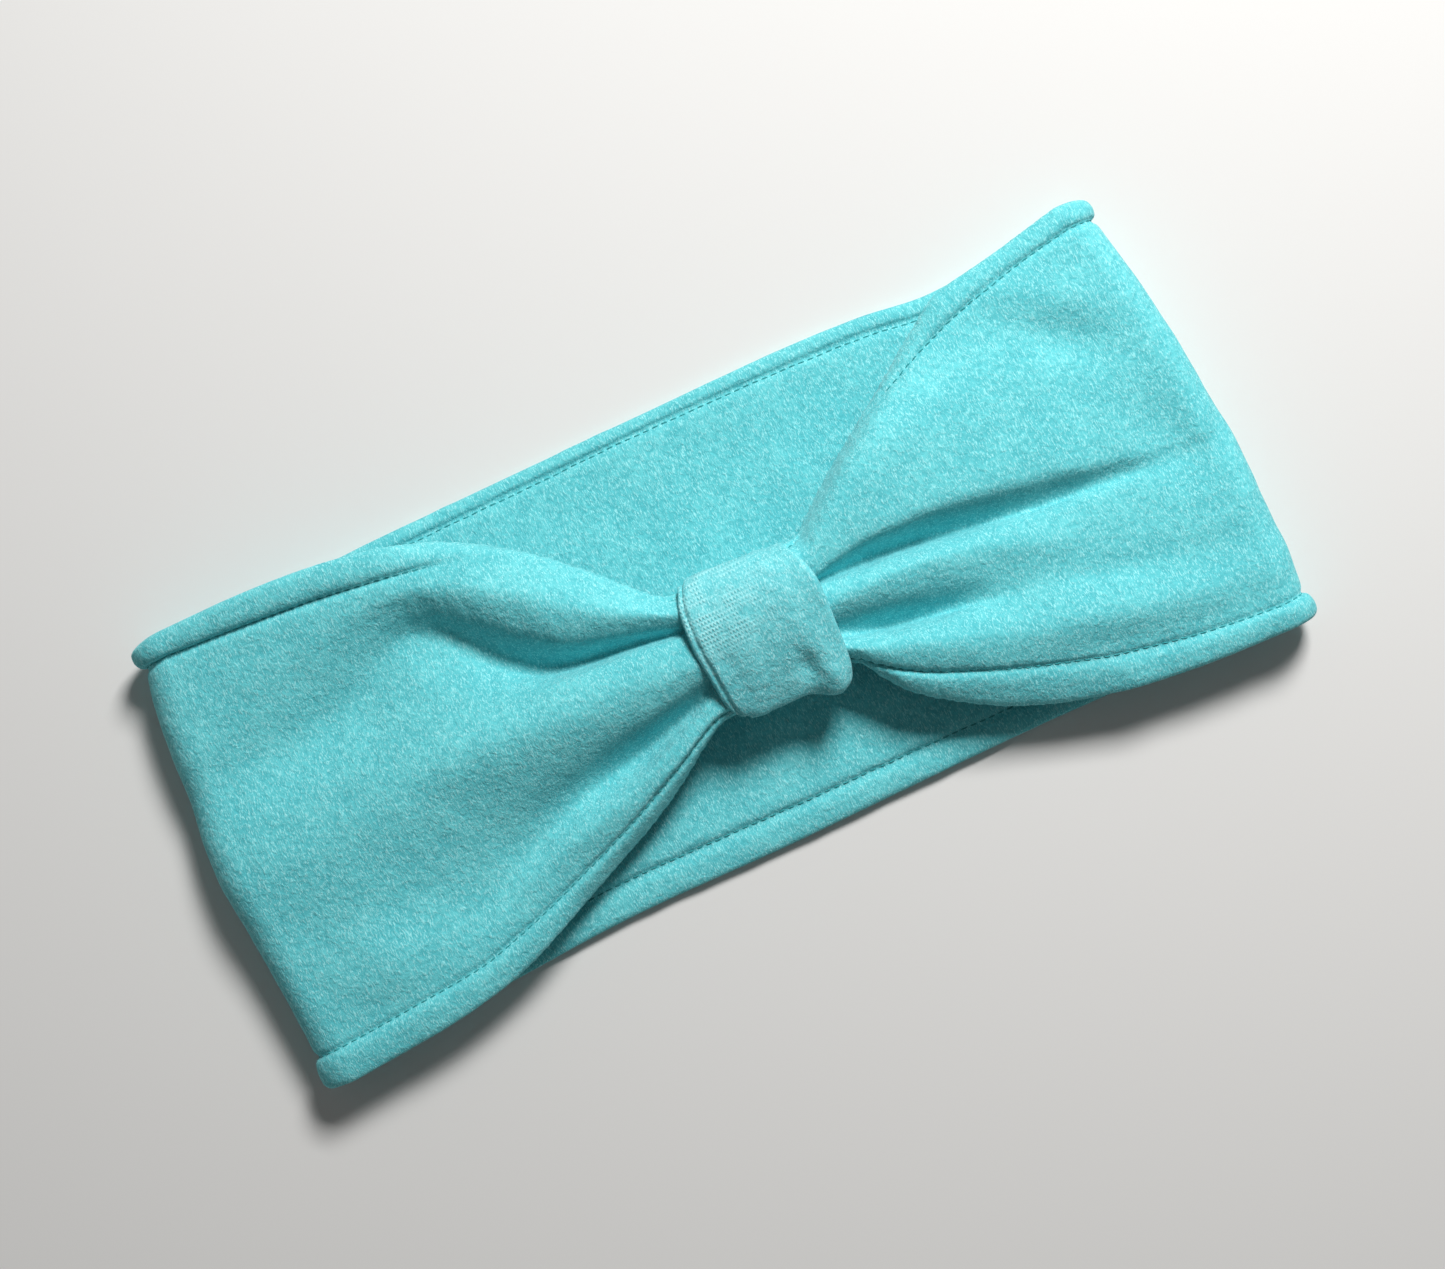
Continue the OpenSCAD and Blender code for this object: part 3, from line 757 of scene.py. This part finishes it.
def blend_colours(mat, share, a, b):
    links = [(0, share), (6, a), (7, b)]
    return add_node(mat, "ShaderNodeMix", links, data_type="RGBA").outputs[2]


def add_up(mat, a, b, weight):
    """a + b * weight"""
    links = [(0, b), (1, weight), (2, a)]
    return add_node(mat, "ShaderNodeMath", links, operation="MULTIPLY_ADD").outputs[0]


def times(mat, a, b):
    return add_node(mat, "ShaderNodeMath", [(0, a), (1, b)], operation="MULTIPLY").outputs[0]


def zigzag(mat, value):
    """Goes up from 0 to 0.5 and back down as the value grows by 1."""
    return add_node(mat, "ShaderNodeMath", [(0, value), (1, 0.5)], operation="PINGPONG").outputs[0]


def strands(mat, where, turn):
    """Noise drawn out into short hairs that lie at an angle in the cloth, from 0 to 1."""
    links = [("Vector", where), ("Rotation", (0.3, 0.2, math.radians(turn))),
             ("Scale", (HAIRS_ACROSS, HAIRS_ALONG, 0.6 * HAIRS_ACROSS))]
    lie = add_node(mat, "ShaderNodeMapping", links).outputs[0]
    links = [("Vector", lie), ("Scale", 1.0), ("Detail", 2.0), ("Distortion", 0.35)]
    return add_node(mat, "ShaderNodeTexNoise", links).outputs["Fac"]


def lighter(mat, a, b):
    return add_node(mat, "ShaderNodeMath", [(0, a), (1, b)], operation="MAXIMUM").outputs[0]


def fleece_material(name, base, knit=None):
    """Brushed fleece: a matted nap of fine pale hairs over a darker ground; the pale hair streaks are partly
    lighter fibres and partly painted glints of the fibres' sheen.
    """
    mat, shader = new_material(name, 0.92, 0.2, (0.7, 0.95, 0.97, 1))
    where = add_node(mat, "ShaderNodeTexCoord").outputs["Object"]
    hairs_and_glints = strands(mat, where, HAIR_TURNS[0])
    for turn in HAIR_TURNS[1:]:
        hairs_and_glints = lighter(mat, hairs_and_glints, strands(mat, where, turn))
    tufts = noise_node(mat, where, TUFTS, 4, 0.6)
    clouds = noise_node(mat, where, CLOUDS, 3, 0.4)
    drift = noise_node(mat, where, DRIFT, 2)
    base = np.array(base)
    pale = tuple(np.clip(base * (2.7, 1.38, 1.33, 1), 0, 1))
    deep = tuple(base * (0.5, 0.74, 0.77, 1))
    worn = tuple(base * (0.84, 0.92, 0.93, 1))
    warm = tuple(np.clip(base * (1.1, 1.04, 1.03, 1), 0, 1))
    ground = blend_colours(mat, stretch(mat, clouds, 0.38, 0.62), worn, warm)
    ground = blend_colours(mat, stretch(mat, drift, 0.4, 0.62, 0, 0.3), ground, worn)
    tufted = blend_colours(mat, stretch(mat, tufts, 0.36, 0.58, 0.62, 0), ground, deep)
    # Pale hair streaks: lighter fibres with painted glints of the fibres' sheen on them
    colour = blend_colours(mat, stretch(mat, hairs_and_glints, 0.58, 0.7, 0, 0.85), tufted, pale)
    height = add_up(mat, add_up(mat, hairs_and_glints, tufts, 1.6), clouds, 1.5)
    if knit:
        mask, pattern = knit(mat, where)
        colour = blend_colours(mat, mask, colour, blend_colours(mat, pattern, deep, pale))
        height = add_up(mat, height, times(mat, mask, pattern), 0.9)
    mat.node_tree.links.new(colour, shader.inputs["Base Color"])
    bump = add_node(mat, "ShaderNodeBump", [("Height", height), ("Strength", 0.7), ("Distance", NAP_DEPTH)])
    mat.node_tree.links.new(bump.outputs[0], shader.inputs["Normal"])
    rough = stretch(mat, tufts, 0.3, 0.7, 0.86, 0.98)
    mat.node_tree.links.new(rough, shader.inputs["Roughness"])
    return mat


def knit_ribs(mat, where):
    """Where the wrap's knit shows through its nap, and its columns of small V stitches."""
    x, y = add_node(mat, "ShaderNodeSeparateXYZ", [("Vector", where)]).outputs[:2]
    slant = zigzag(mat, times(mat, x, 1 / KNIT_COLUMN))
    row = zigzag(mat, add_up(mat, slant, y, 1 / KNIT_ROW))
    vees = stretch(mat, add_up(mat, row, slant, 0.7), 0.12, 0.62)
    worn = stretch(mat, noise_node(mat, where, KNIT_WEAR, 2), 0.36, 0.54)
    left = stretch(mat, x, *KNIT_FADE_X[::-1])
    high = stretch(mat, y, *KNIT_FADE_Y)
    return times(mat, times(mat, times(mat, worn, left), high), KNIT_SHOWS), vees


def thread_material(name, base):
    """Spun sewing thread with its twist."""
    mat, shader = new_material(name, 0.7, 0.1, (0.6, 0.9, 0.9, 1))
    where = add_node(mat, "ShaderNodeTexCoord").outputs["Object"]
    twist = add_node(mat, "ShaderNodeTexWave", [("Vector", where), ("Scale", 900), ("Distortion", 1.5)],
                     bands_direction="DIAGONAL").outputs["Fac"]
    base = np.array(base)
    colour = blend_colours(mat, twist, tuple(base * (0.7, 0.8, 0.8, 1)), tuple(base * (1.15, 1.1, 1.1, 1)))
    mat.node_tree.links.new(colour, shader.inputs["Base Color"])
    bump = add_node(mat, "ShaderNodeBump", [("Height", twist), ("Strength", 0.4), ("Distance", 0.0001)])
    mat.node_tree.links.new(bump.outputs[0], shader.inputs["Normal"])
    return mat


def floor_material():
    mat, shader = new_material("floor", 0.9, 0.0, (1, 1, 1, 1))
    shader.inputs["Base Color"].default_value = (0.80, 0.79, 0.77, 1)
    return mat


# --------------------------------------------------------------------------- the pieces


def stretches_with_loop(obj):
    """Bakes the placement of a piece that runs round the loop into its vertices."""
    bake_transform(obj)


def build_band():
    """The two layers of fleece. Returns their shown faces and the seam line along each edge."""
    outer, middle, inner = loop_faces()
    outer_points = on_loop(*outer)
    inner_points = on_loop(*inner)
    above = on_loop(*middle)
    below = on_loop(middle[0], middle[1] - LAYER_GAP)
    upper = HEM_COLUMNS - 1
    lower = outer_points.shape[1] - HEM_COLUMNS
    soft = softness(outer_points, OUTER_SOFTNESS)
    soft_in = softness(inner_points, LINING_SOFTNESS)
    outer_drawn = puckers(outer_points, upper) + puckers(outer_points, lower)
    inner_drawn = puckers(inner_points, upper) + puckers(inner_points, lower)
    normal_z = grid_normals(inner_points)[:, MIDDLE_COLUMN, 2]
    facing = np.sign((normal_z * np.sin(np.radians(STATION_ANGLE))).sum())
    edge_fade = np.ones(outer_points.shape[1])
    edge_fade[[0, -1]] = 0
    edge_fade[[1, -2]] = 0.4
    outer_shown = pushed(outer_points, (soft + outer_drawn) * edge_fade)
    inner_shown = pushed(inner_points, (soft_in - inner_drawn * facing) * edge_fade)
    fleece = fleece_material("fleece_teal", srgb(108, 214, 220))
    band = add_fleece("outer_fleece", outer_shown, thinned(above), fleece)
    lining = add_fleece("lining_fleece", inner_shown, thinned(below), fleece)
    for obj, panel, slot, length in (
            (band, "outer_panel", "fleece_outer", 0.508), (lining, "lining_panel", "fleece_lining", 0.495)):
        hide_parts(panel + "_back", panel + "_front")
        stretches_with_loop(obj)
    return outer_shown, inner_shown, (upper, lower)


def build_stitching(outer, inner, columns, thread):
    """Topstitching through both layers, and the seam that joins them along each edge."""
    outward = grid_normals(outer)
    inward = grid_normals(inner)
    for name, column, edge in (("upper", columns[0], 0), ("lower", columns[1], -1)):
        hidden = SUNK * rolled_under(outer[:, column])[:, None]
        top = stitches(outer[:, column] - hidden * outward[:, column], outward[:, column])
        under = stitches(inner[:, column], -inward[:, column])
        vertices, faces = joined([top, under])
        obj = add_mesh(name + "_topstitch", vertices, faces, thread)
        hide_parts(name + "_topstitch_back", name + "_topstitch_front")
        stretches_with_loop(obj)
        side = 1 if edge == 0 else -1
        line = 0.5 * (outer[:, edge] + inner[:, edge]) - [0, side * EDGE_SEAM_DEPTH, 0]
        away = np.tile([0.0, side, 0.0], (len(line), 1))
        vertices, faces = stitches(line, away, radius=EDGE_THREAD_R, lift=0)
        obj = add_mesh(name + "_edge_seam", vertices, faces, thread)
        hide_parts(name + "_edge_seam_back", name + "_edge_seam_front")
        stretches_with_loop(obj)


def wrap_ring(x, turn, inset):
    """Points of the ring at x and angle turn, inset from the wrap's outer face."""
    c = np.cos(turn)
    n = np.sin(turn)
    above = line_at(WRAP_HIGH, x, 1) - WRAP_CREST
    below = WRAP_CREST - line_at(WRAP_LOW, x, 1)
    wide = np.where(c > 0, above, below) - inset
    tall = 0.5 * (WRAP_TOP - WRAP_FLOOR) - inset
    upper, lower, hidden = WRAP_POWERS
    power = 2 / np.where(n < 0, hidden, np.where(c > 0, upper, lower))
    y = wide * np.sign(c) * np.abs(c) ** power
    z = tall * np.sign(n) * np.abs(n) ** power
    return np.stack([x, WRAP_CREST + y, WRAP_MIDDLE + z], -1)


def rolled_edge(away, width):
    """Inset of an edge that rolls over, at a distance from it."""
    return WRAP_ROLL - WRAP_ROLL * np.sqrt(np.clip(1 - (1 - np.clip(away / width, 0, 1)) ** 2, 0, 1))


def wrap_thickness(x, left, right):
    """Inset of the outer face from its full height across the strip, with rounded edges."""
    from_left = x - left
    from_right = right - x
    left_roll = rolled_edge(from_left, WRAP_ROLL_LEFT)
    right_roll = rolled_edge(from_right, WRAP_ROLL_RIGHT)
    step = WRAP_STEP_DEPTH * (1 - smooth(WRAP_STEP, WRAP_STEP + WRAP_STEP_WIDTH, from_left))
    groove = WRAP_GROOVE * np.exp(-((from_left - WRAP_STEP) / WRAP_GROOVE) ** 2)
    crown = WRAP_CROWN * (1 - smooth(0, WRAP_CROWN_WIDTH, np.minimum(from_left, from_right)))
    return left_roll + right_roll + step + groove + crown


def wrap_unevenness(outer):
    """Shallow drag folds that run round the ring, and the crumples of its lower right corner."""
    folds = softness(outer * WRAP_DRAG, WRAP_FOLDS) + softness(outer, WRAP_SOFTNESS)
    crumples = sum(height * np.exp(-((outer[..., 0] - cx) / rx) ** 2 - ((outer[..., 1] - cy) / ry) ** 2)
                   for cx, cy, rx, ry, height in WRAP_CRUMPLES)
    return folds + crumples * (outer[..., 2] > WRAP_CRUMPLED_FROM)


def build_wrap(thread):
    """The strip round the neck, and the hand stitches that close it underneath."""
    turn = np.linspace(0, 2 * math.pi, WRAP_AROUND, endpoint=False)[:, None]
    middle_y = wrap_ring(np.full((WRAP_AROUND, 1), NECK_MIDDLE), turn, 0)[..., 1]
    left = line_at(WRAP_LEFT, middle_y, 1)
    right = line_at(WRAP_RIGHT, middle_y, 1)
    s = (1 - np.cos(np.linspace(0, math.pi, WRAP_ACROSS))) / 2
    s = lerp(s, np.linspace(0, 1, WRAP_ACROSS), 0.55)[None]
    x = lerp(left, right, s)
    outer = wrap_ring(x, np.broadcast_to(turn, x.shape), wrap_thickness(x, left, right))
    inner_x = lerp(left, right, np.linspace(0.02, 0.98, WRAP_INSIDE)[None])
    inner = wrap_ring(inner_x, np.broadcast_to(turn, inner_x.shape), WRAP_THICK)
    amount = wrap_unevenness(outer) * smooth(0, 0.06, s) * smooth(0, 0.06, 1 - s)
    normal = grid_normals(outer)
    centre = np.array([0, NECK_Y, WRAP_MIDDLE])
    if (normal * (outer - centre) * [0, 1, 1]).sum() < 0:
        normal = -normal
    outer = outer + normal * amount[..., None]
    fleece = fleece_material("fleece_wrap", srgb(116, 216, 222), knit_ribs)
    wrap = add_fleece("knot_wrap_fleece", outer, inner, fleece)
    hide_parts("knot_wrap")
    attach(wrap, KNOT)
    low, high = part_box("wrap_seam")
    x = np.linspace(low[0], high[0], SEAM_POINTS) / MM
    seam = np.stack([x, np.full(SEAM_POINTS, NECK_Y), np.full(SEAM_POINTS, WRAP_FLOOR)], -1)
    down = np.tile([0.0, 0.0, -1.0], (SEAM_POINTS, 1))
    obj = add_mesh("wrap_seam_stitches", *stitches(seam, down, closed=False), thread)
    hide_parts("wrap_seam")
    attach(obj, KNOT)


def build_closing_seam(thread):
    """The seam that closes the band into a loop, hidden inside the neck."""
    low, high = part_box("closing_seam")
    y = np.linspace(low[1], high[1], SEAM_POINTS) / MM
    middle = (np.array(low) + np.array(high)) / 2 / MM
    seam = np.stack([np.full(SEAM_POINTS, middle[0]), y, np.full(SEAM_POINTS, middle[2])], -1)
    up = np.tile([0.0, 0.0, 1.0], (SEAM_POINTS, 1))
    obj = add_mesh("closing_seam_stitches", *stitches(seam, up, closed=False), thread)
    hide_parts("closing_seam")
    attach(obj, FRONT)


# --------------------------------------------------------------------- camera and lights


def add_stage():
    bpy.ops.mesh.primitive_plane_add(size=FLOOR_SIZE)
    floor = bpy.context.object
    floor.name = "floor"
    floor.location.z = FLOOR_Z
    floor.data.materials.append(floor_material())


def add_light(name, azimuth, elevation, distance, size, power):
    """A square area light aimed at the object; azimuth turns from +X towards +Y."""
    light = bpy.data.lights.new(name, "AREA")
    light.size = size
    light.energy = power
    obj = bpy.data.objects.new(name, light)
    a = math.radians(azimuth)
    e = math.radians(elevation)
    obj.location = Vector((math.cos(a) * math.cos(e), math.sin(a) * math.cos(e), math.sin(e))) * distance
    obj.rotation_euler = obj.location.to_track_quat("Z", "Y").to_euler()
    bpy.context.scene.collection.objects.link(obj)


def add_camera():
    camera = bpy.data.cameras.new("camera")
    camera.lens = CAMERA_LENS
    camera.sensor_width = 36
    obj = bpy.data.objects.new("camera", camera)
    obj.location = CAMERA_PLACE
    obj.rotation_euler = Euler((0, 0, math.radians(CAMERA_TURN)))
    bpy.context.scene.collection.objects.link(obj)
    bpy.context.scene.camera = obj


def add_studio():
    add_stage()
    add_light("key", azimuth=48, elevation=47, distance=0.88, size=0.24, power=8.6)
    world = bpy.data.worlds.new("studio")
    bpy.context.scene.world = world
    world.use_nodes = True
    world.node_tree.nodes["Background"].inputs[0].default_value = (1, 1, 1, 1)
    world.node_tree.nodes["Background"].inputs[1].default_value = WORLD_LIGHT
    bpy.context.scene.view_settings.view_transform = "Standard"


add_camera()
add_studio()
sewing_thread = thread_material("sewing_thread", srgb(58, 158, 163))
outer_face, inner_face, stitch_columns = build_band()
build_stitching(outer_face, inner_face, stitch_columns, sewing_thread)
build_wrap(sewing_thread)
build_closing_seam(sewing_thread)
